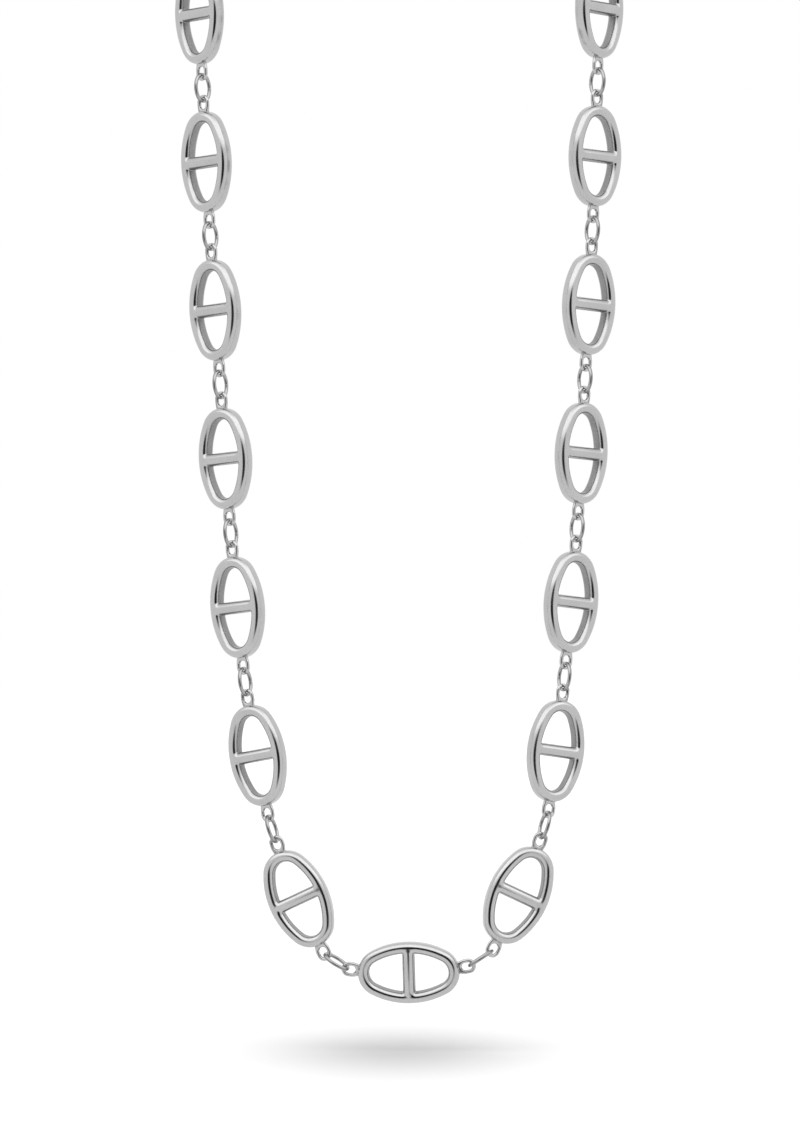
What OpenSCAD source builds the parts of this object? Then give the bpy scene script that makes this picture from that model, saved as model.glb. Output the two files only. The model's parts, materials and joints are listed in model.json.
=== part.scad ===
// Mariner link necklace, hanging in its worn form, closed at the nape by a plain barrel clasp.
// Units are millimetres. Up is +Z, the front of the necklace looks along -Y,
// and the origin is the middle of the clasp, where the necklace sits on the nape.

/* [Mariner link] */
// Length of a link's oval rim, without its eyes
link_len = 16; // [15:0.5:20]
// Width of a link's oval rim
link_w = 9.7; // [9:0.1:12]
// Width of the rim's wire, seen from the front
rim_w = 1.75; // [1.5:0.05:2]
// Depth of the rim's wire, from front to back
rim_t = 2.5; // [2.2:0.1:3]
// Width of the bar across the middle of the link
bar_w = 1.9; // [1.5:0.1:2.2]
// How far the bar stands proud of the rim's crown, front and back
bar_rise = 0.05; // [0.03:0.01:0.1]

/* [Eyes at the ends of a link] */
// Diameter of the fine wire, for the eyes and for the jump rings
wire_d = 0.6; // [0.5:0.05:0.7]
// Clear width of an eye
eye_w = 1.15; // [1.1:0.05:1.4]
// Clear length of an eye, along the link
eye_len = 1.65; // [1.5:0.05:2]
// Solder between the rim's end and the eye's opening
eye_seat = 0.4; // [0.3:0.05:0.5]

/* [Jump ring] */
// Outer length of the oval jump ring between two links
ring_len = 4.75; // [4.5:0.05:6]
// Outer width of the jump ring
ring_w = 3.55; // [3.4:0.05:4.4]
// Clear gap left between two pieces that hang in each other
slack = 0.08; // [0.05:0.01:0.15]

/* [Clasp] */
// Diameter of the plain barrel clasp
barrel_d = 3.6; // [3:0.2:5]
// Diameter of the barrel's flat ends
barrel_end_d = 2.2; // [1.8:0.1:2.6]
// Length of the barrel's sloping shoulders, as a share of their height
barrel_slope = 1.2; // [0.5:0.1:2]
// Depth of the fine groove round the barrel's middle
barrel_groove = 0.15; // [0.1:0.05:0.3]

/* [Front] */
// How far the front link's face tips downwards
front_tip = 8; // [0:1:15]
// How far the front link's right end swings towards the viewer
front_swing = 5; // [0:1:10]
// How far the front link's right eye is soldered above its long axis, as an angle round the rim's end
front_eye_right = 10; // [0:1:15]
// The same for its left eye
front_eye_left = 7; // [0:1:15]

/* [Hidden] */
$fn = 48;

// One row for each link of a strand, counted from the front link up to the clasp.
// LEAN: how far the link's top leans outwards, from upright
// BACK: how far its top leans away from the viewer
// TURN: how far its face turns outwards
// EYE: how far round the rim's end its top eye is soldered, towards the inside of the loop
// RING: how far the ring above it is turned from the way half between square to the two links
LEAN = 0;
BACK = 1;
TURN = 2;
EYE = 3;
RING = 4;
right_rows = [
    [89, -front_swing, front_tip, front_eye_right, -11],
    [25, 3.3, 13, 6, 0],
    [7, 3.3, 29, 0, 0],
    [5, 3.3, 35, 0, 0],
    [3, 3.3, 38, 0, 0],
    [3, 3.3, 37, 0, 0],
    [2, 3.3, 38, 0, 0],
    [1.5, 3.3, 46, 0, 0],
    [-15, 24, 85, 0, 0],
    [-55, 34, 130, 0, 0],
];
left_rows = [
    [91, front_swing, front_tip, front_eye_left, 6],
    [25, 2.7, 13, 6, 0],
    [10, 2.7, 30, 0, 0],
    [5.5, 2.7, 35, 0, 0],
    [4, 2.7, 37, 0, 0],
    [4, 2.7, 40, 0, 0],
    [3, 2.7, 42, 0, 0],
    [2.5, 2.7, 45, 0, 0],
    [-15, 24, 85, 0, 0],
    [-55, 34, 130, 0, 0],
];
// The clasp lies level across the nape
clasp_row = [-90, 0, 180, 0, 0];
side_links = len(right_rows) - 1;

// Link, measured from its middle
half_len = link_len / 2;
half_w = link_w / 2;
end_y = half_len - oval_end_r(half_len, half_w);
eye_r = (eye_w + wire_d) / 2;
eye_low_y = half_len + eye_seat + eye_w / 2;
eye_top_y = half_len + eye_seat + eye_len - eye_w / 2;
eye_reach = eye_top_y - end_y;
// The eye's legs are rooted inside the rim, and its solder is a little thinner than the wire
leg_root = 0.6;
eye_root_y = half_len - leg_root;
solder_t = 0.9 * wire_d;
// The solder reaches into the round bottom of the eye's opening, which is cut out of it
solder_rise = 0.2;
solder_top_y = eye_low_y - solder_rise;

// Jump ring, along its wire's middle
ring_half = (ring_len - wire_d) / 2;
ring_half_w = (ring_w - wire_d) / 2;
ring_pull = 2 * ring_half - 2 * (wire_d + slack);

// An oval is four arcs. Their centres lie so that the arcs meet along the long side of an 8-15-17 triangle,
// which gives both radii from the oval's half length and half width. The triangle's unit is kept to a
// thousandth of a millimetre, so that the arcs meet exactly.
function oval_unit(half_l, half_b) = round(1000 * (half_l - half_b) / 6) / 1000;
function oval_end_r(half_l, half_b) = half_l - 8 * oval_unit(half_l, half_b);
function oval_side_r(half_l, half_b) = half_l + 9 * oval_unit(half_l, half_b);
END_WEDGE = [[0, 0], [15, 8], [-15, 8]];
SIDE_WEDGE = [[0, 0], [15, 8], [15, -8]];

// Pieces' places

function unit(v) = v / norm(v);
function rot_x(a) = [[1, 0, 0], [0, cos(a), -sin(a)], [0, sin(a), cos(a)]];
function rot_y(a) = [[cos(a), 0, sin(a)], [0, 1, 0], [-sin(a), 0, cos(a)]];
function rot_z(a) = [[cos(a), -sin(a), 0], [sin(a), cos(a), 0], [0, 0, 1]];

// Axes of a piece that stands upright facing the viewer before it leans, tips back and turns
function axes(row) = rot_y(row[LEAN]) * rot_x(-row[BACK]) * rot_z(row[TURN]);
function along(row) = axes(row) * [0, 0, 1];
function face(row) = axes(row) * [0, 1, 0];

// A ring hangs half way between the two links that it joins
function between(a, b) = (a + b) / 2;

// The part of a ring's pull that lies in an eye's own plane
function in_eye(row, pull) = unit(pull - (pull * face(row)) * face(row));

// Middle of the round end of a link's top eye and of its low eye, from the middle of the link
function top_eye(row) = axes(row) * [-eye_reach * sin(row[EYE]), 0, end_y + eye_reach * cos(row[EYE])];
function low_eye(row) = axes(row) * [0, 0, -end_y - eye_reach];

// From the top eye of one link to the low eye of the next, through the ring
function joint(a, b) =
    let (pull = along(between(a, b)))
    eye_r * (in_eye(a, pull) + in_eye(b, pull)) + ring_pull * pull;

// Middle of each link, on the right strand or, mirrored, on the left one
function link_at(rows, i) =
    i == 0 ? [0, 0, 0] :
    link_at(rows, i - 1)
    + top_eye(rows[i - 1])
    + joint(rows[i - 1], rows[i])
    - low_eye(rows[i]);

// Middle of the ring above link i
function ring_at(rows, i) =
    let (
        above = i < side_links ? rows[i + 1] : clasp_row,
        pull = along(between(rows[i], above))
    )
    link_at(rows, i)
    + top_eye(rows[i])
    + eye_r * in_eye(rows[i], pull)
    + (ring_half - wire_d - slack) * pull;

// Middle of the clasp's eye, past the last ring of a strand
function clasp_eye_at(rows) =
    link_at(rows, side_links)
    + top_eye(rows[side_links])
    + joint(rows[side_links], clasp_row);

function mirrored(v) = [-v[0], v[1], v[2]];

clasp_right = clasp_eye_at(right_rows);
clasp_left = mirrored(clasp_eye_at(left_rows));
nape = (clasp_right + clasp_left) / 2;
clasp_span = clasp_right - clasp_left;
barrel_len = norm(clasp_span) - 2 * (eye_len - eye_w + eye_w / 2 + eye_seat);

link_names = ["link_front",
    for (side = ["right", "left"]) for (i = [1:side_links]) str("link_", side, "_", i)];
ring_names = [for (side = ["right", "left"]) for (i = [0:side_links]) str("ring_", side, "_", i + 1)];

// Shapes. A link stands along Y in its own plane, facing +Z.

// Section of a wire that is oval: round front and back, straight flanks
module oval_wire(width, depth) {
    for (s = [-1, 1]) translate([0, s * (depth - width) / 2]) circle(d = width);
    square([width, depth - width], center = true);
}

// Stretch of wire bent round an arc: the part of a full ring that lies in a wedge from its centre
module bend(r, wedge) {
    intersection() {
        rotate_extrude() translate([r, 0]) children();
        linear_extrude(2 * r, center = true) polygon(r * wedge);
    }
}

// Closed oval of four arcs along Y, given by the half length and half width of its wire's middle
module oval_loop(half_l, half_b) {
    r_end = oval_end_r(half_l, half_b);
    r_side = oval_side_r(half_l, half_b);
    for (s = [0, 180]) rotate([0, 0, s]) {
        translate([-15 * oval_unit(half_l, half_b), 0, 0]) bend(r_side, SIDE_WEDGE) children();
        translate([0, half_l - r_end, 0]) bend(r_end, END_WEDGE) children();
    }
}

// Eye: a wire loop with its legs and a little solder on the rim's end
module eye() {
    translate([0, eye_top_y, 0]) rotate_extrude(angle = 180) translate([eye_r, 0]) circle(d = wire_d);
    for (s = [-1, 1]) translate([s * eye_r, eye_root_y, 0])
        rotate([-90, 0, 0]) cylinder(d = wire_d, h = eye_top_y - eye_root_y);
    difference() {
        translate([-eye_r, eye_root_y, -solder_t / 2]) cube([2 * eye_r, solder_top_y - eye_root_y, solder_t]);
        translate([0, eye_low_y, -wire_d]) cylinder(d = eye_w, h = 2 * wire_d);
    }
}

// Oval rim, bar across it, and an eye at each end
module mariner_link(low_angle, top_angle) {
    oval_loop(half_len - rim_w / 2, half_w - rim_w / 2) oval_wire(rim_w, rim_t);
    rotate([0, 90, 0]) linear_extrude(link_w - rim_w, center = true)
        rotate([0, 0, 90]) oval_wire(bar_w, rim_t + 2 * bar_rise);
    translate([0, end_y, 0]) rotate([0, 0, top_angle]) translate([0, -end_y, 0]) eye();
    mirror([0, 1, 0]) translate([0, end_y, 0]) rotate([0, 0, low_angle]) translate([0, -end_y, 0]) eye();
}

// Oval jump ring of round wire
module jump_ring() {
    oval_loop(ring_half, ring_half_w) circle(d = wire_d);
}

// Barrel with sloping shoulders, flat ends and a fine groove, and an eye at each end
module barrel() {
    h = barrel_len / 2;
    shoulder = barrel_slope * (barrel_d - barrel_end_d) / 2;
    rotate([-90, 0, 0]) rotate_extrude() polygon([
        [0, -h], [barrel_end_d / 2, -h], [barrel_d / 2, shoulder - h],
        [barrel_d / 2, -barrel_groove], [barrel_d / 2 - barrel_groove, 0], [barrel_d / 2, barrel_groove],
        [barrel_d / 2, h - shoulder], [barrel_end_d / 2, h], [0, h],
    ]);
    for (s = [0, 180]) rotate([0, 0, s]) translate([0, h - half_len, 0]) eye();
}

// Places. The left strand is built on the right and mirrored.

module on_side(side) {
    translate(-nape)
        if (side == "left") mirror([1, 0, 0]) children();
        else children();
}

// From lying along Y and facing +Z to standing upright and facing the viewer, then to its own place
module place(at, row, quarter = 0) {
    translate(at) rotate([0, row[LEAN], 0]) rotate([-row[BACK], 0, 0]) rotate([0, 0, row[TURN] + quarter])
        rotate([90, 0, 0]) children();
}

module strand_link(side, rows, i) {
    on_side(side) place(link_at(rows, i), rows[i]) mariner_link(0, rows[i][EYE]);
}

module strand_ring(side, rows, i) {
    above = i < side_links ? rows[i + 1] : clasp_row;
    on_side(side) place(ring_at(rows, i), between(rows[i], above), 90 + rows[i][RING]) jump_ring();
}

module front_link() {
    color("silver") on_side("right")
        place([0, 0, 0], right_rows[0]) mariner_link(front_eye_left, front_eye_right);
}

module side_link(side, rows, i) {
    color("silver") strand_link(side, rows, i);
}

module side_ring(side, rows, i) {
    color("lightgray") strand_ring(side, rows, i);
}

module clasp() {
    color("gainsboro")
        rotate([0, 0, atan2(clasp_span[1], clasp_span[0])])
        rotate([0, acos(clasp_span[2] / norm(clasp_span)) - 90, 0])
        rotate([90, 0, 0]) rotate([0, 0, -90]) barrel();
}

front_link();  // link_front
for (i = [1:side_links]) {
    side_link("right", right_rows, i);
    side_link("left", left_rows, i);
}
for (i = [0:side_links]) {
    side_ring("right", right_rows, i);
    side_ring("left", left_rows, i);
}
clasp();
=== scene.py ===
# %% [markdown]
# # A mariner link necklace
#
# This lesson dresses a necklace that is already built to size. The real necklace is a loop of
# oval mariner links, each with a bar across it, joined by small oval rings of fine wire. The
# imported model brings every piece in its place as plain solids. Here each one gets a smooth surface
# of its own, worked out with numpy, and a polished steel finish, in a white light tent.

# %% Load the frame
import json
import math
from collections import namedtuple

import bmesh
import bpy
import numpy as np
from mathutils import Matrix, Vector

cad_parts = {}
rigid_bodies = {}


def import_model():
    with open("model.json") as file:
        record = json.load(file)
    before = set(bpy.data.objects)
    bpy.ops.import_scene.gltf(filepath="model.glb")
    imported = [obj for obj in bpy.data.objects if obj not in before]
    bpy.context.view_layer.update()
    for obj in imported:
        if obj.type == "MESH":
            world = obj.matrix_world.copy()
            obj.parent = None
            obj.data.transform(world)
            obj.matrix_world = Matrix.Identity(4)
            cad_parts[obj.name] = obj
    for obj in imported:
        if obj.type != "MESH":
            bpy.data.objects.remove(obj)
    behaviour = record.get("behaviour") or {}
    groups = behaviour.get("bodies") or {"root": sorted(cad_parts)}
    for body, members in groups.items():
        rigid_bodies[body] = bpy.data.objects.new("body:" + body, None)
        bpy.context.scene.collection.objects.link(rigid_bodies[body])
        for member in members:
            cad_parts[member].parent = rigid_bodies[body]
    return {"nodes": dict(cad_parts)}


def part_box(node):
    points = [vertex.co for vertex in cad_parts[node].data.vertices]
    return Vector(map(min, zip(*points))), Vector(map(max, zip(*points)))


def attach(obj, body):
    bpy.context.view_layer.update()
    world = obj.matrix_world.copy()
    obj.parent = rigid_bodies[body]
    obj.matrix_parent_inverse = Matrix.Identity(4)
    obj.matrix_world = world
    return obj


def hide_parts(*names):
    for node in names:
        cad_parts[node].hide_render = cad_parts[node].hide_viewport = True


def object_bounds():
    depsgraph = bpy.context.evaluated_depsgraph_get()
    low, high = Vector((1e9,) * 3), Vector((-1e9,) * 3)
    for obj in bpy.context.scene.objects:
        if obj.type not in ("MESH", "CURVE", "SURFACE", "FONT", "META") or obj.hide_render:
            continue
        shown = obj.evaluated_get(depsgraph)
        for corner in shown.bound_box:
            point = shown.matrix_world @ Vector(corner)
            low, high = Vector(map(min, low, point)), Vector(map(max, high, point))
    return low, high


MM = 0.001

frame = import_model()
CAD_BOX = [list(corner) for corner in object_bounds()]
print("nodes:", len(frame["nodes"]))
print("size in mm:", [round((high - low) / MM, 1) for low, high in zip(*CAD_BOX)])

# %% [markdown]
# ## Driving dimensions
#
# Shapes are worked out in millimetres, as a goldsmith reads them, and are made metres at the end.
# These are the sizes of the three kinds of piece: the link with its rim, bar and eyes, the jump
# ring, and the clasp's barrel. They are the solids' own sizes, and everything below follows from
# them.

# %% Sizes in millimetres
LINK_LENGTH, LINK_WIDTH = 16.0, 9.7
RIM_WIDTH, RIM_DEPTH = 1.75, 2.5
BAR_WIDTH, BAR_RISE = 1.9, 0.05
HOLE_CORNER = 0.16
WIRE = 0.6
EYE_WIDTH, EYE_LENGTH, EYE_SEAT = 1.15, 1.65, 0.4
RING_LENGTH, RING_WIDTH, SLACK = 4.75, 3.55, 0.08
BARREL, BARREL_END, BARREL_SLOPE, BARREL_GROOVE = 3.6, 2.2, 1.2, 0.15

HALF_LENGTH, HALF_WIDTH = LINK_LENGTH / 2, LINK_WIDTH / 2
RIM_R, BAR_R, WIRE_R = RIM_WIDTH / 2, BAR_WIDTH / 2, WIRE / 2
EYE_R = (EYE_WIDTH + WIRE) / 2
EYE_LOW = HALF_LENGTH + EYE_SEAT + EYE_WIDTH / 2
EYE_TOP = HALF_LENGTH + EYE_SEAT + EYE_LENGTH - EYE_WIDTH / 2
print("eye: the slot's two centres are %.3f mm apart" % (EYE_TOP - EYE_LOW))


# %% [markdown]
# ## An oval from four arcs
#
# A circle stretched to the link's size would be simpler, but the outline of a rim of even width
# round it is no stretched circle. A goldsmith's oval is four arcs that meet without a kink, and
# any offset of it is such an oval too. If the arcs meet along the long side of an 8-15-17
# triangle, both radii follow from the half length and the half width. A point on the oval is named
# by the direction in which its edge faces. Moving it along that direction gives a true offset, so
# one function serves the inside, the middle and the outside of the rim.

# %% Oval
SHORT_SIDE, MIDDLE_SIDE, LONG_SIDE = 8, 15, 17
MEET = math.degrees(math.atan2(SHORT_SIDE, MIDDLE_SIDE))


def oval_radii(half_length, half_width):
    """End radius and side radius. A step is the difference of the halves over 8 + 15 - 17. The end
    radius is the half length less 8 steps, and the side radius the half width plus 15 steps."""
    step = (half_length - half_width) / (SHORT_SIDE + MIDDLE_SIDE - LONG_SIDE)
    return half_length - SHORT_SIDE * step, half_width + MIDDLE_SIDE * step


def facing(degrees):
    """Unit vectors in the plane: cosine and sine of each angle."""
    angle = np.radians(degrees)
    return np.stack([np.cos(angle), np.sin(angle)], -1)


def oval(degrees, half_length, half_width):
    """Points of the oval whose edge faces each angle: the arc's centre plus its radius in that
    direction."""
    end_r, side_r = oval_radii(half_length, half_width)
    way = facing(degrees)
    on_end = np.abs(way[:, 1]) > math.sin(math.radians(MEET))
    centre_x = np.where(on_end, 0, np.sign(way[:, 0]) * (half_width - side_r))
    centre_y = np.where(on_end, np.sign(way[:, 1]) * (half_length - end_r), 0)
    radius = np.where(on_end, end_r, side_r)
    return np.stack([centre_x, centre_y], -1) + radius[:, None] * way


END_R, SIDE_R = oval_radii(HALF_LENGTH, HALF_WIDTH)
END_Y = HALF_LENGTH - END_R
print("rim: end radius %.2f mm, side radius %.2f mm" % (END_R, SIDE_R))

# %% [markdown]
# ## Where every piece hangs
#
# Each link leans, tips back and turns a little differently. Its place could be set by hand, but a
# chain has a rule: the top eye of one link, the ring through it, then the low eye of the next. A
# ring hangs half way between its two links, square to them, and the two beside the front link are
# turned a little out of that. The same short rows and the same rule made the solids, so the
# surfaces land on them.
#
# A row is one link, in degrees: its lean from upright, how far it tips back, its turn about its own
# length, how far its top eye is swung round the rim's end, and how far the ring above it is turned.
# Both strands start with the front link. The left one is worked out on the right and mirrored.

# %% Rows of the two strands
Row = namedtuple("Row", "lean back turn eye ring")
FRONT_TIP, FRONT_SWING = 8, 5
RIGHT_BACK, LEFT_BACK = 3.3, 2.7
RIGHT_ROWS = [
    Row(89, -FRONT_SWING, FRONT_TIP, 10, -11),
    Row(25, RIGHT_BACK, 13, 6, 0),
    Row(7, RIGHT_BACK, 29, 0, 0),
    Row(5, RIGHT_BACK, 35, 0, 0),
    Row(3, RIGHT_BACK, 38, 0, 0),
    Row(3, RIGHT_BACK, 37, 0, 0),
    Row(2, RIGHT_BACK, 38, 0, 0),
    Row(1.5, RIGHT_BACK, 46, 0, 0),
]
LEFT_ROWS = [
    Row(91, FRONT_SWING, FRONT_TIP, 7, 6),
    Row(25, LEFT_BACK, 13, 6, 0),
    Row(10, LEFT_BACK, 30, 0, 0),
    Row(5.5, LEFT_BACK, 35, 0, 0),
    Row(4, LEFT_BACK, 37, 0, 0),
    Row(4, LEFT_BACK, 40, 0, 0),
    Row(3, LEFT_BACK, 42, 0, 0),
    Row(2.5, LEFT_BACK, 45, 0, 0),
]
NAPE_ROWS = [Row(-15, 24, 85, 0, 0), Row(-55, 34, 130, 0, 0)]
CLASP_ROW = Row(-90, 0, 180, 0, 0)
ROWS = {"right": RIGHT_ROWS + NAPE_ROWS, "left": LEFT_ROWS + NAPE_ROWS}
MIRROR = np.diag([-1.0, 1.0, 1.0])
print("links on the right and on the left:", [len(rows) - 1 for rows in ROWS.values()])


# %% Turning
def turned(degrees, axis):
    """Rotation matrix by the right-hand rule about x, y or z: cosines and sines in the other
    two."""
    c, s = math.cos(math.radians(degrees)), math.sin(math.radians(degrees))
    i, j = {"x": (1, 2), "y": (2, 0), "z": (0, 1)}[axis]
    matrix = np.eye(3)
    matrix[i, i] = matrix[j, j] = c
    matrix[i, j], matrix[j, i] = -s, s
    return matrix


def axes(row, quarter=0):
    """Axes of an upright piece after it turns, tips back and leans, in that order."""
    return turned(row.lean, "y") @ turned(-row.back, "x") @ turned(row.turn + quarter, "z")


def between(a, b):
    """The row half way between two: a ring hangs so between its links."""
    return Row(*((x + y) / 2 for x, y in zip(a, b)))


print("front link's long axis:", np.round(axes(RIGHT_ROWS[0])[:, 2], 2))


# %% Pulling
RING_HALF, RING_HALF_W = (RING_LENGTH - WIRE) / 2, (RING_WIDTH - WIRE) / 2
RING_PULL = 2 * RING_HALF - 2 * (WIRE + SLACK)


def unit(v):
    """The vector over its length."""
    return v / np.linalg.norm(v)


def in_eye(row, pull):
    """The part of a pull that lies in an eye's own plane, made one long."""
    face = axes(row)[:, 1]
    return unit(pull - (pull @ face) * face)


def top_eye(row):
    """Middle of the top eye's round end, swung round the rim's end by the row's eye angle."""
    reach, angle = EYE_TOP - END_Y, math.radians(row.eye)
    return axes(row) @ [-reach * math.sin(angle), 0, END_Y + reach * math.cos(angle)]


def strand(rows):
    """Middles of the links and of the rings of a strand, and of the clasp's eye, one after the
    other: each is the last one plus its reach along the pull."""
    links, rings = [np.zeros(3)], []
    for row, above in zip(rows, rows[1:] + [CLASP_ROW]):
        pull = axes(between(row, above))[:, 2]
        seat = links[-1] + top_eye(row) + EYE_R * in_eye(row, pull)
        rings.append(seat + (RING_HALF - WIRE - SLACK) * pull)
        next_eye = seat + RING_PULL * pull + EYE_R * in_eye(above, pull)
        links.append(next_eye + EYE_TOP * axes(above)[:, 2])
    return links[:-1], rings, next_eye


STRANDS = {side: strand(rows) for side, rows in ROWS.items()}
CLASP_RIGHT, CLASP_LEFT = STRANDS["right"][2], MIRROR @ STRANDS["left"][2]
NAPE = (CLASP_RIGHT + CLASP_LEFT) / 2
FRONT = -NAPE * MM
print("front link's middle, mm from the nape:", np.round(-NAPE, 2))

# %% [markdown]
# ## Camera
#
# The photograph was taken level, from about a metre, with a long lens, and its top edge cuts the
# loop. The camera stands a little to the left of the front link's middle and well above it. Its
# lens follows from one measure: the front link is 102 of the photograph's pixels long.

# %% Camera
CAMERA_AWAY = 1.002
CAMERA_RIGHT, CAMERA_UP = -0.00139, 0.06362
PHOTO_TALL, LINK_PIXELS = 1132, 102.2
SENSOR = 36.0
NEAREST, FARTHEST = 0.05, 50

field = PHOTO_TALL * (LINK_LENGTH * MM / LINK_PIXELS)
camera_data = bpy.data.cameras.new("camera")
camera_data.sensor_width = SENSOR
camera_data.lens = SENSOR * CAMERA_AWAY / field
camera_data.clip_start, camera_data.clip_end = NEAREST, FARTHEST
camera = bpy.data.objects.new("camera", camera_data)
camera.location = FRONT + [CAMERA_RIGHT, -CAMERA_AWAY, CAMERA_UP]
camera.rotation_euler = (math.pi / 2, 0, 0)
bpy.context.collection.objects.link(camera)
bpy.context.scene.camera = camera
print("lens %.1f mm, field %.0f mm tall" % (camera_data.lens, field / MM))


# %% [markdown]
# ## Node helpers
#
# A material is a small graph. It could be drawn by hand in the shader editor, but a script says
# the same each time. The first helper adds one node and fills its sockets: a number or a colour
# is set on the socket, and another node's output is linked to it. The other two make the kinds
# of node that are wanted most.

# %% Node helpers
def add_node(tree, kind, values=(), **settings):
    """Adds a node of this kind. values maps a socket's name or number to a constant or to another
    node's output."""
    node = tree.nodes.new(kind)
    for name, value in settings.items():
        setattr(node, name, value)
    for key, value in dict(values).items():
        if isinstance(value, bpy.types.NodeSocket):
            tree.links.new(value, node.inputs[key])
        else:
            node.inputs[key].default_value = value
    return node


def math_node(tree, operation, a, b=0.0):
    """Output of a Math node on two numbers or outputs."""
    return add_node(tree, "ShaderNodeMath", {0: a, 1: b}, operation=operation).outputs[0]


def smooth_step(tree, value, low, high, to_low, to_high):
    """Output that goes smoothly from to_low to to_high as the value goes from low to high."""
    ends = {"From Min": low, "From Max": high, "To Min": to_low, "To Max": to_high}
    step = {"Value": value, **ends}
    return add_node(tree, "ShaderNodeMapRange", step, interpolation_type="SMOOTHSTEP").outputs[0]


print("node helpers:", ", ".join(helper.__name__ for helper in (add_node, math_node, smooth_step)))

# %% [markdown]
# ## Light tent
#
# Polished metal shows what is round it. Jewellery is photographed in a white tent, and the only
# dark thing in it is the opening for the camera. That opening draws the fine dark line along each
# crown, where the metal faces the viewer. A tent could be built of sheets and lamps. Drawn in the
# world's shader by direction, it has no seams and no noise: white, the oval opening, and the glow
# of a lamp through the cloth above it, which lights the crowns' upper sides.

# %% Light tent
TENT_WHITE, OPENING_DARK = 1.0, 0.02
OPENING_WIDE, OPENING_TALL = 0.44, 0.36
OPENING_SOFT = (0.75, 1.25)
FAR_OUTSIDE = 10.0
LAMP_GAIN, LAMP_OVERHEAD = 0.7, 0.35
LAMP_FOOT, LAMP_TOP, LAMP_BACK = (0.34, 0.52), (0.78, 0.97), (-0.25, 0.2)

world = bpy.data.worlds.new("light_tent")
bpy.context.scene.world = world
world.use_nodes = True
tree = world.node_tree
tree.nodes.clear()
direction = add_node(tree, "ShaderNodeTexCoord").outputs["Generated"]
part = add_node(tree, "ShaderNodeSeparateXYZ", {0: direction}).outputs

# Reach is the root of the sum of both squares: under 1 in the opening, and far over it behind.
across = math_node(tree, "POWER", math_node(tree, "DIVIDE", part["X"], OPENING_WIDE), 2)
upward = math_node(tree, "POWER", math_node(tree, "DIVIDE", part["Z"], OPENING_TALL), 2)
reach = math_node(tree, "SQRT", math_node(tree, "ADD", across, upward))
behind = math_node(tree, "GREATER_THAN", part["Y"], 0.0)
reach = math_node(tree, "ADD", reach, math_node(tree, "MULTIPLY", behind, FAR_OUTSIDE))
opening = smooth_step(tree, reach, *OPENING_SOFT, OPENING_DARK, TENT_WHITE)

# The lamp's glow begins at the opening's top, is weaker overhead, and ends behind the necklace.
lamp = smooth_step(tree, part["Z"], *LAMP_FOOT, 0.0, LAMP_GAIN)
overhead = smooth_step(tree, part["Z"], *LAMP_TOP, 1.0, LAMP_OVERHEAD)
in_front = smooth_step(tree, part["Y"], *LAMP_BACK, 1.0, 0.0)
lamp = math_node(tree, "MULTIPLY", math_node(tree, "MULTIPLY", lamp, overhead), in_front)

level = math_node(tree, "ADD", opening, lamp)
light = add_node(tree, "ShaderNodeBackground", {"Strength": level, "Color": (1, 1, 1, 1)})
add_node(tree, "ShaderNodeOutputWorld", {"Surface": light.outputs[0]})
bpy.context.scene.view_settings.view_transform = "Standard"
print("tent: opening %.0f by %.0f degrees across" % tuple(
    2 * math.degrees(math.asin(half)) for half in (OPENING_WIDE, OPENING_TALL)))

# %% [markdown]
# ## Floor
#
# The necklace hangs just clear of a white table. The table is so evenly lit that it melts into the
# background, apart from a soft pool of shade under the front link. A lamp overhead could cast that
# shade, but its glare would show in the metal too. So the shade is painted in the table's own
# colour, and the metal doesn't mirror the table, so that the tent alone draws its lines.

# %% Floor
FLOOR_GAP, FLOOR_HALF = 0.00765, 3.0
TABLE_GREY = 0.93
SHADE_WIDE, SHADE_DEEP, SHADE_DARK = 0.0143, 0.0355, 0.33

floor_z = CAD_BOX[0][2] - FLOOR_GAP
signs = ((-1, -1), (1, -1), (1, 1), (-1, 1))
corners = [(x * FLOOR_HALF, y * FLOOR_HALF, floor_z) for x, y in signs]
floor_mesh = bpy.data.meshes.new("floor")
floor_mesh.from_pydata(corners, [], [(0, 1, 2, 3)])
floor = bpy.data.objects.new("floor", floor_mesh)
bpy.context.collection.objects.link(floor)
floor.visible_glossy = False
print("table top at %.1f mm" % (floor_z / MM))

# %% Table's finish
white_table = bpy.data.materials.new("white_table")
white_table.use_nodes = True
tree = white_table.node_tree
tree.nodes.clear()
here = add_node(tree, "ShaderNodeTexCoord").outputs["Object"]
middle = (FRONT[0] + CAMERA_RIGHT, FRONT[1], floor_z)
shift = add_node(tree, "ShaderNodeVectorMath", {0: here, 1: middle}, operation="SUBTRACT")
spreads = {0: shift.outputs[0], 1: (1 / SHADE_WIDE, 1 / SHADE_DEEP, 1)}
shape = add_node(tree, "ShaderNodeVectorMath", spreads, operation="MULTIPLY")
spread = add_node(tree, "ShaderNodeVectorMath", {0: shape.outputs[0]}, operation="LENGTH")

# A bell: e to the power of minus half the square of the spread.
square = math_node(tree, "POWER", spread.outputs["Value"], 2)
pool = math_node(tree, "EXPONENT", math_node(tree, "MULTIPLY", square, -0.5))
shade = math_node(tree, "MULTIPLY", pool, SHADE_DARK)
grey = math_node(tree, "SUBTRACT", TABLE_GREY, shade)
tone = add_node(tree, "ShaderNodeCombineColor", {0: grey, 1: grey, 2: grey}).outputs[0]
paint = add_node(tree, "ShaderNodeBsdfDiffuse", {"Color": tone})
add_node(tree, "ShaderNodeOutputMaterial", {"Surface": paint.outputs[0]})
floor_mesh.materials.append(white_table)
print("pool of shade: the bell spreads %.0f by %.0f mm" % (SHADE_WIDE / MM, SHADE_DEEP / MM))


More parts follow.
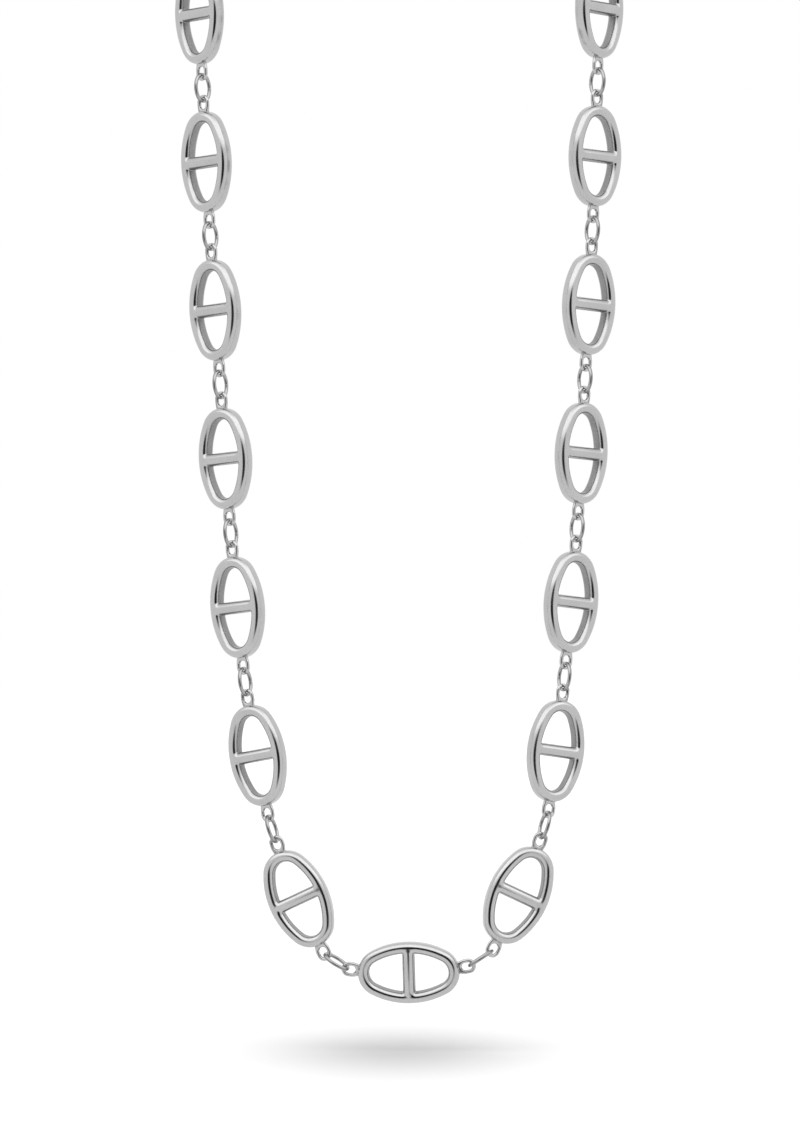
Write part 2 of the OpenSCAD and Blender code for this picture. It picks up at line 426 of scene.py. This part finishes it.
# %% [markdown]
# ## Bands: a rounded wire from a flat outline
#
# Seen from the front, a link is a flat shape with holes, and its section is round in front and at
# the back with straight flanks between. It could be a bevelled curve with a bar pushed into it,
# but then a crease would run round the joint. The outline and the section together give a better
# surface. A line runs along the middle of the metal, the spine. From the spine a band goes over
# the crown to an edge, down the flank, and over the back crown to the spine behind. The height
# depends only on how deep a point lies inside the outline, so where the bar meets the rim the
# crowns flow into each other by themselves, as they do under a polishing wheel.
#
# A band also says how much of each point the polishing wheel misses, which is left unpolished and
# painted darker as shade: nothing on the crown, and its whole share on the flank.

# %% Bands
CROWN_STEPS, FLANK_STEPS = 10, 3
CROWN_SHARES = np.sin(np.radians(np.linspace(0, 90, CROWN_STEPS + 1)))
UNPOLISHED_AND_SHADE_POWER = 8

Band = namedtuple("Band", "points missed outward")


def band_between(spine, edge, depth_of, crest, radius, missed, outward):
    """Closed band, as a grid of points along the spine and across it. A point lies a share of the
    way from spine to edge. Its depth, up to the radius, is how far it is inside the outline. Its
    height is the crest less the radius plus a root, of radius squared less the square of radius
    less depth. What the wheel misses, left unpolished and painted darker as shade, grows over the
    crown as the share to the eighth power."""
    flat = spine[:, None] + CROWN_SHARES[:, None] * (edge - spine)[:, None]
    crest = np.broadcast_to(crest, len(spine))[:, None]
    radius = np.broadcast_to(radius, len(spine))[:, None]
    short = radius - np.minimum(np.maximum(depth_of(flat), 0), radius)
    short[:, -1] = radius[:, 0]
    height = crest - radius + np.sqrt(radius**2 - short**2)
    front = np.dstack([flat, height])
    flank = np.repeat(front[:, -1:], FLANK_STEPS - 1, axis=1)
    flank[:, :, 2] *= np.linspace(1, -1, FLANK_STEPS + 1)[1:-1]
    back = front[:, ::-1] * [1, 1, -1]
    points = np.concatenate([front, flank, back], axis=1)
    # Share left unpolished and painted darker as shade: none on the crown, all on the flank.
    crown = CROWN_SHARES**UNPOLISHED_AND_SHADE_POWER
    share = np.concatenate([crown, np.ones(FLANK_STEPS - 1), crown[::-1]])
    return Band(points, np.broadcast_to(share * missed, points.shape[:2]), outward)


def moved(band, matrix, start=(0, 0, 0)):
    """The band after a turn and a shift."""
    return band._replace(points=band.points @ np.transpose(matrix) + start)


def joined(*runs):
    """Runs of values end to end, each without its last value, which starts the next run."""
    return np.concatenate([run[:-1] for run in runs])


print("points across a band:", 2 * (CROWN_STEPS + 1) + FLANK_STEPS - 1)

# %% [markdown]
# ## Rim and bar
#
# The rim's outside is one band. Each of the two D-shaped holes has a band of its own, from the
# hole's outline to the rim's spine and the bar's spine. The hole's corners are slightly rounded,
# as a file leaves them. Near a corner the depth is measured from the corner's own small arc. The
# bar stands a hair proud of the rim and is slightly arched, so the dark line along the rim breaks
# where they meet.

# %% Corners of the holes
SPINE_HALVES = (HALF_LENGTH - RIM_R, HALF_WIDTH - RIM_R)
SPINE_SIDE_R = oval_radii(*SPINE_HALVES)[1]
SIDE_CENTRE = SPINE_HALVES[1] - SPINE_SIDE_R
CORNER_Y = BAR_R + HOLE_CORNER
CORNER_REACH = SPINE_SIDE_R - RIM_R - HOLE_CORNER
CORNER_ANGLE = math.degrees(math.asin(CORNER_Y / CORNER_REACH))
CORNER_X = SIDE_CENTRE + CORNER_REACH * math.cos(math.radians(CORNER_ANGLE))
print("hole: corner arcs centred %.2f mm out and %.2f mm up" % (CORNER_X, CORNER_Y))

# %% Rim and bar
CORNER_STEPS, SIDE_STEPS, END_STEPS, BAR_STEPS = 5, 18, 14, 10
RIM_CREST, CAMBER = RIM_DEPTH / 2, 2 * BAR_RISE
RIM_ARC = np.concatenate([
    np.linspace(CORNER_ANGLE, MEET, SIDE_STEPS + 1)[:-1],
    np.linspace(MEET, 180 - MEET, 2 * END_STEPS + 1),
    np.linspace(180 - MEET, 180 - CORNER_ANGLE, SIDE_STEPS + 1)[1:],
])
NEAR_BAR = np.linspace(0, CORNER_ANGLE, CORNER_STEPS + 1)
BAR_RUN = np.linspace(CORNER_X, SPINE_HALVES[1], CORNER_STEPS + 1)


def rim_outside():
    """Band from the rim's spine to the oval outline, once round. The depth is the rim's radius
    less the distance from the spine."""
    half_turn = joined(NEAR_BAR, RIM_ARC, 180 - NEAR_BAR[::-1])
    degrees = np.concatenate([half_turn, half_turn + 180])
    spine = oval(degrees, *SPINE_HALVES)
    edge = spine + RIM_R * facing(degrees)

    def depth(p):
        return RIM_R - np.linalg.norm(p - spine[:, None], axis=-1)

    return band_between(spine, edge, depth, RIM_CREST, RIM_R, 0, True)


def flipped(run):
    """The same points on the other side of the y axis, in the opposite order."""
    return run[::-1] * [-1, 1]


def hole_side():
    """Band from a D-shaped hole's outline to the spines of rim and bar. The loop runs round the
    hole's right corner, over the rim, round the left corner and back along the bar. The bar's crest
    rises as one less the square of the share of the way from its middle to the rim's spine."""
    corner_turn = np.linspace(-90, CORNER_ANGLE, 2 * CORNER_STEPS + 1)
    corner_edge = [CORNER_X, CORNER_Y] + HOLE_CORNER * facing(corner_turn)
    bar_end = np.stack([BAR_RUN, 0 * BAR_RUN], -1)
    corner_spine = np.concatenate([bar_end[:-1], oval(NEAR_BAR, *SPINE_HALVES)])
    rim_spine = oval(RIM_ARC, *SPINE_HALVES)
    rim_edge = rim_spine - RIM_R * facing(RIM_ARC)
    bar_x = np.linspace(-CORNER_X, CORNER_X, BAR_STEPS + 1)
    bar_line = np.stack([bar_x, 0 * bar_x], -1)
    spine = joined(corner_spine, rim_spine, flipped(corner_spine), bar_line)
    edge = joined(corner_edge, rim_edge, flipped(corner_edge), bar_line + [0, BAR_R])

    to_rim = np.linspace(0, 1, 2 * CORNER_STEPS + 1)
    on_rim, on_bar = np.ones(len(RIM_ARC)), np.zeros(BAR_STEPS + 1)
    radius = BAR_R + (RIM_R - BAR_R) * joined(to_rim, on_rim, to_rim[::-1], on_bar)
    arch = 1 - (spine[:, 0] / SPINE_HALVES[1]) ** 2
    crest = RIM_CREST + CAMBER * np.where(spine[:, 1] > 0, 0, arch)
    corner = np.ones(2 * CORNER_STEPS + 1)
    in_corner = joined(corner, 0 * on_rim, corner, on_bar)[:, None] > 0

    def depth(p):
        from_centre = np.hypot(np.abs(p[..., 0]) - CORNER_X, p[..., 1] - CORNER_Y)
        from_spine = np.linalg.norm(p - spine[:, None], axis=-1)
        return np.where(in_corner, from_centre - HOLE_CORNER, radius[:, None] - from_spine)

    return band_between(spine, edge, depth, crest, radius, 1, False)


def link_body():
    """The rim's outside and both holes, the second turned half a turn."""
    hole = hole_side()
    return [rim_outside(), hole, moved(hole, turned(180, "z"))]


print("rim and bar:", [band.points.shape[:2] for band in link_body()], "points a band")

# %% [markdown]
# ## Eyes
#
# An eye is a loop of fine wire soldered to the rim's end. It could be a plain torus, but the real
# one is a staple: two legs and a round end. It is made from bands too: an outside, and the side of
# its slot. Below the slot the solder fills the space between the legs. Where it wets the rim, it
# draws the legs together a little and makes them thicker.

# %% Eyes
EYE_ARC_STEPS, EYE_LEG_STEPS, EYE_ROOT_STEPS = 20, 4, 24
ROOT_DEPTH = 0.6
EYE_ROOT = HALF_LENGTH - ROOT_DEPTH
WET_ABOVE, WET_BELOW = 0.9, 0.1
WET_TOP, WET_FOOT = HALF_LENGTH + WET_ABOVE, HALF_LENGTH - WET_BELOW
WET_NARROWER, WET_THICKER = 0.16, 0.2
NEARLY_ZERO = 1e-9


def slot_loop(radius, root):
    """Closed line round an eye at a radius: up a leg, over the round end, down the other leg, and
    back below the slot. There each point lies on a ray from the slot's low centre, as far as the
    radius, or, if a root is given, to the leg's side or the root's level, whichever is nearer."""
    leg = np.linspace(EYE_LOW, EYE_TOP, EYE_LEG_STEPS + 1)
    top = [0, EYE_TOP] + radius * facing(np.linspace(0, 180, EYE_ARC_STEPS + 1))
    ray = facing(np.linspace(180, 360, EYE_ROOT_STEPS + 1))
    length = np.full(len(ray), radius)
    if root is not None:
        width, drop = np.maximum(np.abs(ray), NEARLY_ZERO).T
        length = np.minimum(radius / width, (EYE_LOW - root) / drop)
    low = [0, EYE_LOW] + length[:, None] * ray
    right = np.stack([0 * leg + radius, leg], -1)
    return joined(right, top, flipped(right), low)


def outside_depth(p):
    """How far a point is inside the eye's outside: the outside's radius less the distance from the
    line that goes down from the round end's centre."""
    above = np.maximum(p[..., 1] - EYE_TOP, 0)
    return EYE_R + WIRE_R - np.hypot(p[..., 0], above)


def slot_depth(p):
    """How far a point is from the slot's side: its distance from the line between the slot's two
    centres, less the slot's radius."""
    beyond = p[..., 1] - np.clip(p[..., 1], EYE_LOW, EYE_TOP)
    return np.hypot(p[..., 0], beyond) - (EYE_R - WIRE_R)


def wetted(p):
    """The points with the solder's pull: a share that goes from 0 above to 1 at the rim, as three
    times its square less twice its cube, narrows the legs and thickens them."""
    wet = np.clip((WET_TOP - p[..., 1]) / (WET_TOP - WET_FOOT), 0, 1)
    wet = wet * wet * (3 - 2 * wet)
    return p * np.stack([1 - WET_NARROWER * wet, 1 + 0 * wet, 1 + WET_THICKER * wet], -1)


def eye(angle, end):
    """Bands of an eye swung by the angle round the rim's end, for the top end (1) or the low end
    (-1)."""
    spine = slot_loop(EYE_R, EYE_ROOT + WIRE_R)
    outer, inner = slot_loop(EYE_R + WIRE_R, EYE_ROOT), slot_loop(EYE_R - WIRE_R, None)
    bands = [
        band_between(spine, outer, outside_depth, WIRE_R, WIRE_R, 1, True),
        band_between(spine, inner, slot_depth, WIRE_R, WIRE_R, 1, False),
    ]
    swing, half_turn = turned(angle * end, "z"), turned(0 if end > 0 else 180, "z")
    made = []
    for band in bands:
        p = (wetted(band.points) - [0, END_Y, 0]) @ swing.T + [0, END_Y, 0]
        made.append(moved(band._replace(points=p), half_turn))
    return made


print("eye:", [band.points.shape[:2] for band in eye(0, 1)], "points a band")


# %% [markdown]
# ## From bands to a mesh
#
# The bands of one body share their spines, point for point. Points that fall together are made one
# vertex, which closes the body, and a face that has lost a side is left out. What the polishing
# wheel misses, unpolished and painted darker as shade, becomes an attribute of the vertices, so
# that a finish can follow it.

# %% From bands to a mesh
WELD_DIGITS = 5


def grid_faces(across, along, outward):
    """Corner numbers of the quads of a grid that is closed along its first direction."""
    here = np.arange(along)[:, None] * across + np.arange(across - 1)
    ahead = np.roll(here, -1, axis=0)
    quads = np.stack([here, ahead, ahead + 1, here + 1], -1).reshape(-1, 4)
    return quads[:, ::-1] if outward else quads


def body_mesh(name, bands):
    """Mesh of bands that meet in closed bodies. Points that are the same when rounded to a
    hundred-thousandth of a millimetre are one."""
    sizes = [band.points.shape[0] * band.points.shape[1] for band in bands]
    starts = np.cumsum([0] + sizes)
    points = np.concatenate([band.points.reshape(-1, 3) for band in bands])
    missed = np.concatenate([np.ravel(band.missed) for band in bands])
    corners = np.concatenate([
        grid_faces(band.points.shape[1], band.points.shape[0], band.outward) + start
        for band, start in zip(bands, starts)
    ])
    _, first, number = np.unique(
        np.round(points, WELD_DIGITS), axis=0, return_index=True, return_inverse=True)
    faces = number.ravel()[corners]
    whole = (np.diff(np.sort(faces, axis=1)) > 0).all(axis=1)
    mesh = bpy.data.meshes.new(name)
    mesh.from_pydata(points[first].tolist(), [], faces[whole].tolist())
    # Each vertex's share of unpolished metal and of painted shade.
    layer = mesh.attributes.new("unpolished_and_painted_shade", "FLOAT", "POINT")
    layer.data.foreach_set("value", missed[first])
    return mesh


def open_edges(mesh):
    """Number of edges that don't lie between exactly two faces. A closed body has none."""
    sides = np.empty(len(mesh.loops), np.int32)
    mesh.loops.foreach_get("edge_index", sides)
    return int(np.count_nonzero(np.bincount(sides, minlength=len(mesh.edges)) != 2))


print("a band of 4 by 3 points, closed along its 4, has", len(grid_faces(3, 4, True)), "quads")

# %% [markdown]
# ## Solder
#
# Eyes and link are one piece of metal once they are soldered. Two meshes that only cross would
# look much the same, but their hidden walls would stay inside. A Boolean union takes those walls
# away and leaves one closed skin. Its crease stays sharp, and everything gentler is shaded smooth.

# %% Solder
SHARP_ANGLE = 40


def fused(name, body, *parts):
    """One body of several closed ones, as solder makes it: each part is united with the body."""
    objects = bpy.context.scene.collection.objects
    made = [bpy.data.objects.new(name, mesh) for mesh in (body, *parts)]
    for piece in made:
        objects.link(piece)
    for part in made[1:]:
        join = made[0].modifiers.new("solder", "BOOLEAN")
        join.operation, join.solver, join.object = "UNION", "EXACT", part
    graph = bpy.context.evaluated_depsgraph_get()
    whole = bpy.data.meshes.new_from_object(
        made[0].evaluated_get(graph), preserve_all_data_layers=True, depsgraph=graph)
    for piece in made:
        bpy.data.objects.remove(piece)
    whole.name = name
    whole.shade_smooth()
    whole.set_sharp_from_angle(angle=math.radians(SHARP_ANGLE))
    return whole


def mariner_link(low_angle, top_angle):
    """Rim, bar and both eyes in one body, standing along y and facing z."""
    name = "mariner_link_%g_%g" % (low_angle, top_angle)
    eyes = [body_mesh("eye", eye(top_angle, 1)), body_mesh("eye", eye(low_angle, -1))]
    return fused(name, body_mesh(name, link_body()), *eyes)


FRONT_EYES = (LEFT_ROWS[0].eye, RIGHT_ROWS[0].eye)
kinds = [(0, row.eye) for rows in ROWS.values() for row in rows[1:]] + [FRONT_EYES]
LINKS = {angles: mariner_link(*angles) for angles in dict.fromkeys(kinds)}
for angles, mesh in LINKS.items():
    print("link with its eyes at", angles, "has", len(mesh.polygons), "faces,",
          open_edges(mesh), "open edges")

# %% [markdown]
# ## Jump ring
#
# A jump ring is a short piece of round wire bent into an oval and closed. Its two ends meet in a
# hair-fine seam on one side. A bevelled curve would make the wire, but not the seam. Two bands
# make it, like a rim with a round section, and the seam is a dent in the wire's radius.

# %% Jump ring
SEAM_HALF, SEAM_DEPTH = 0.03, 0.16
SEAM_TURN = np.array([-1.6, -1.0, -0.5, 0, 0.5, 1.0, 1.6])
RING_STEPS = 75


def jump_ring():
    """Oval wire of two bands. Near the seam, each point moves towards the spine by a bell-shaped
    share: e to the power of minus the square of its distance over the seam's half."""
    rest = np.linspace(SEAM_TURN[-1], 360 + SEAM_TURN[0], RING_STEPS + 1)[1:-1]
    degrees = np.concatenate([SEAM_TURN, rest])
    spine = oval(degrees, RING_HALF, RING_HALF_W)
    from_seam = np.where(spine[:, 0] > 0, spine[:, 1], RING_LENGTH) / SEAM_HALF
    keep = 1 - SEAM_DEPTH * np.exp(-from_seam**2)[:, None, None]
    middle = np.pad(spine, ((0, 0), (0, 1)))[:, None]

    def depth(p):
        return WIRE_R - np.linalg.norm(p - spine[:, None], axis=-1)

    bands = []
    for side in (1, -1):
        edge = spine + side * WIRE_R * facing(degrees)
        band = band_between(spine, edge, depth, WIRE_R, WIRE_R, 1, side > 0)
        bands.append(band._replace(points=middle + keep * (band.points - middle)))
    mesh = body_mesh("jump_ring", bands)
    mesh.shade_smooth()
    return mesh


RING = jump_ring()
print("jump ring:", len(RING.polygons), "faces,", open_edges(RING), "open edges")

# %% [markdown]
# ## Clasp
#
# The clasp is hidden in the photograph, so it is the plainest kind: a turned barrel with sloping
# shoulders and a fine groove where its two halves meet, and an eye soldered to each end. A turned
# piece is a profile carried round an axis, as a lathe makes it. Blender's Screw modifier does that
# too, but here the grid of a band already closes itself. The profile's corners are rounded first.

# %% Barrel
TURN_STEPS, ROUND_STEPS, ROUND = 64, 5, 0.22
CLASP_SPAN = CLASP_RIGHT - CLASP_LEFT
BARREL_HALF = np.linalg.norm(CLASP_SPAN) / 2 - (EYE_LENGTH - EYE_WIDTH / 2 + EYE_SEAT)
SHOULDER = BARREL_SLOPE * (BARREL - BARREL_END) / 2
CAP_R = BARREL_END / 4


def rounded(profile, reach):
    """The profile with each inner corner replaced by a curve from reach before it to reach after
    it: with t from 0 to 1, (1 - t) squared of the first cut point, twice (1 - t) t of the corner
    and t squared of the second."""
    t = np.linspace(0, 1, ROUND_STEPS + 1)[:, None]
    run = [profile[:1]]
    for before, corner, after in zip(profile, profile[1:], profile[2:]):
        start = corner + min(reach, np.linalg.norm(before - corner) / 2) * unit(before - corner)
        stop = corner + min(reach, np.linalg.norm(after - corner) / 2) * unit(after - corner)
        run.append((1 - t) ** 2 * start + 2 * (1 - t) * t * corner + t**2 * stop)
    return np.concatenate(run + [profile[-1:]])


def barrel():
    """The rounded profile turned about y: radius times cosine and sine of the turn. The ends get a
    flat cap."""
    half = np.array([
        [BARREL / 2 - BARREL_GROOVE, 0],
        [BARREL / 2, BARREL_GROOVE],
        [BARREL / 2, BARREL_HALF - SHOULDER],
        [BARREL_END / 2, BARREL_HALF],
        [CAP_R, BARREL_HALF],
    ])
    radius, height = rounded(np.concatenate([half[::-1], half[1:] * [1, -1]]), ROUND).T
    turn = facing(np.arange(TURN_STEPS) * 360 / TURN_STEPS)
    x, z = turn[:, :1] * radius, turn[:, 1:] * radius
    mesh = body_mesh("barrel", [Band(np.stack([x, height + 0 * x, z], -1), 0 * x, False)])
    work = bmesh.new()
    work.from_mesh(mesh)
    bmesh.ops.holes_fill(work, edges=[edge for edge in work.edges if edge.is_boundary])
    bmesh.ops.recalc_face_normals(work, faces=work.faces)
    work.to_mesh(mesh)
    work.free()
    return mesh


print("barrel: %.1f mm long, shoulders %.2f mm" % (2 * BARREL_HALF, SHOULDER))


# %% Clasp
def barrel_clasp():
    """Barrel and both eyes in one body, lying along y."""
    seat = (0, BARREL_HALF - HALF_LENGTH, 0)
    at_end = [moved(band, np.eye(3), seat) for band in eye(0, 1)]
    ends = [[moved(band, turned(turn, "z")) for band in at_end] for turn in (0, 180)]
    return fused("barrel_clasp", barrel(), *(body_mesh("eye", end) for end in ends))


CLASP = barrel_clasp()
print("clasp:", len(CLASP.polygons), "faces,", open_edges(CLASP), "open edges")

# %% [markdown]
# ## Polished steel
#
# The metal is neutral and bright, but not a mirror: a fine grain from the tumbler and soft clouds
# in its gloss keep it from looking like glass. Both could be painted, but noise by place needs no
# map and has no seam. Where the polishing wheel doesn't reach, inside the holes and along the sides
# of the fine wires, the links are matte, and all the metal is painted darker there as the shade
# that falls in the holes and on the wires' flanks. One function makes every finish of the
# necklace.

# %% Steel
CLOUD_SIZE, CLOUD_DETAIL, CLOUD_SHADE, CLOUD_RANGE = 0.0035, 3.0, 0.22, (0.3, 0.7)
GRAIN_SIZE, GRAIN_DETAIL, GRAIN_SHADE, GRAIN_MEAN = 0.00022, 2.0, 0.5, 0.5
# How much darker the painted shade makes the metal inside the holes and on the wires' flanks.
PAINTED_SHADE = 0.7
GLOSSIER, DULLER = 0.03, 0.05
POLISHED_RELIEF = 0.35


def noise(tree, place, size, detail):
    """Output of a noise whose blots are about so large, in metres."""
    values = {"Vector": place, "Scale": 1 / size, "Detail": detail}
    return add_node(tree, "ShaderNodeTexNoise", values).outputs["Fac"]


def steel(name, light, dark, gloss, matte, grain_depth):
    """Metal between a light and a dark grey. The dark share is the sum of a share of the clouds,
    of a painted shade where the wheel misses, and of the grain less its mean. The roughness
    follows the clouds round the gloss, plus matte where the wheel misses. The grain stands
    grain_depth high there, and lower on the polished crowns."""
    material = bpy.data.materials.new(name)
    material.use_nodes = True
    tree = material.node_tree
    tree.nodes.clear()
    place = add_node(tree, "ShaderNodeTexCoord").outputs["Object"]
    cloud = noise(tree, place, CLOUD_SIZE, CLOUD_DETAIL)
    grain = noise(tree, place, GRAIN_SIZE, GRAIN_DETAIL)
    missed = add_node(
        tree, "ShaderNodeAttribute", attribute_name="unpolished_and_painted_shade").outputs["Fac"]

    clouds = math_node(tree, "MULTIPLY", cloud, CLOUD_SHADE)
    # Painted shade: a darker grey inside the holes and along the wires' flanks.
    share = math_node(tree, "ADD", clouds, math_node(tree, "MULTIPLY", missed, PAINTED_SHADE))
    specks = math_node(tree, "SUBTRACT", grain, GRAIN_MEAN)
    share = math_node(tree, "ADD", share, math_node(tree, "MULTIPLY", specks, GRAIN_SHADE))
    greys = {"Factor": share, "A": (light, light, light, 1), "B": (dark, dark, dark, 1)}
    grey = add_node(tree, "ShaderNodeMix", greys, data_type="RGBA")
    grey.clamp_factor = True

    rough = smooth_step(tree, cloud, *CLOUD_RANGE, gloss - GLOSSIER, gloss + DULLER)
    rough = math_node(tree, "ADD", rough, math_node(tree, "MULTIPLY", missed, matte))
    stands = math_node(tree, "ADD", POLISHED_RELIEF, missed)
    relief = {"Height": math_node(tree, "MULTIPLY", grain, stands), "Strength": 1.0}
    bump = add_node(tree, "ShaderNodeBump", {**relief, "Distance": grain_depth})
    shader = add_node(tree, "ShaderNodeBsdfPrincipled", {
        "Base Color": grey.outputs["Result"],
        "Metallic": 1.0,
        "Roughness": rough,
        "Normal": bump.outputs[0],
    })
    add_node(tree, "ShaderNodeOutputMaterial", {"Surface": shader.outputs[0]})
    return material


FINISHES = {
    "link_metal": steel(
        "polished_steel", light=0.545, dark=0.25, gloss=0.15, matte=0.26, grain_depth=4e-6),
    "ring_metal": steel(
        "drawn_wire", light=0.45, dark=0.18, gloss=0.11, matte=0.0, grain_depth=4e-6),
    "clasp_metal": steel(
        "turned_steel", light=0.545, dark=0.3, gloss=0.2, matte=0.0, grain_depth=3e-6),
}
print("finishes:", ", ".join(sorted(FINISHES)))

# %% [markdown]
# ## Hang the pieces
#
# Every piece now goes to its own place and replaces its plain solid. Copies that share one mesh
# would be lighter, but they would need a place of their own on the object. Here the place is in
# the mesh, so the object itself stays at the origin. A mirrored piece has its faces turned round
# again. Its box is compared with the solid's, to show that both follow the same rule.

# %% Hang the pieces
UPRIGHT = turned(90, "x")
box_gaps = {}


def hang(name, node, mesh, slot_name, matrix, at, mirrored=False):
    """Puts a copy of a mesh at its place: turned, shifted, mirrored for the left strand, then in
    metres."""
    placed = mesh.copy()
    placed.name = name
    points = np.empty(3 * len(placed.vertices), np.float32)
    placed.vertices.foreach_get("co", points)
    points = points.reshape(-1, 3) @ matrix.T + at
    points = ((points @ MIRROR if mirrored else points) - NAPE) * MM
    placed.vertices.foreach_set("co", points.ravel())
    if mirrored:
        placed.flip_normals()
    placed.materials.clear()
    placed.materials.append(FINISHES[slot_name])
    piece = bpy.data.objects.new(name, placed)
    bpy.context.collection.objects.link(piece)
    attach(piece, "root")
    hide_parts(node)
    low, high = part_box(node)
    box_gaps[node] = max(np.abs(points.min(0) - low).max(), np.abs(points.max(0) - high).max())


print("a piece made along y stands along", np.round(UPRIGHT[:, 1], 2))

# %% Links and rings
hang("mariner_link_front", "link_front", LINKS[FRONT_EYES], "link_metal",
     axes(RIGHT_ROWS[0]) @ UPRIGHT, np.zeros(3))
for side, rows in ROWS.items():
    left = side == "left"
    links, rings, _ = STRANDS[side]
    for i, row in enumerate(rows):
        above = (rows + [CLASP_ROW])[i + 1]
        hang("jump_ring_%s_%d" % (side, i + 1), "ring_%s_%d" % (side, i + 1), RING, "ring_metal",
             axes(between(row, above), 90 + row.ring) @ UPRIGHT, rings[i], left)
        if i > 0:
            hang("mariner_link_%s_%d" % (side, i), "link_%s_%d" % (side, i), LINKS[0, row.eye],
                 "link_metal", axes(row) @ UPRIGHT, links[i], left)
print("links and rings hung:", len(box_gaps))

# %% The clasp
CLASP_TURN = math.degrees(math.atan2(CLASP_SPAN[1], CLASP_SPAN[0]))
CLASP_RISE = math.degrees(math.asin(CLASP_SPAN[2] / np.linalg.norm(CLASP_SPAN)))
hang("barrel_clasp", "clasp", CLASP, "clasp_metal",
     turned(CLASP_TURN, "z") @ turned(-CLASP_RISE, "y") @ UPRIGHT @ turned(-90, "z"), NAPE)

worst = max(box_gaps, key=box_gaps.get)
print("pieces:", len(box_gaps), "largest difference from a solid's box: %.3f mm, at %s" % (
    box_gaps[worst] / MM, worst))
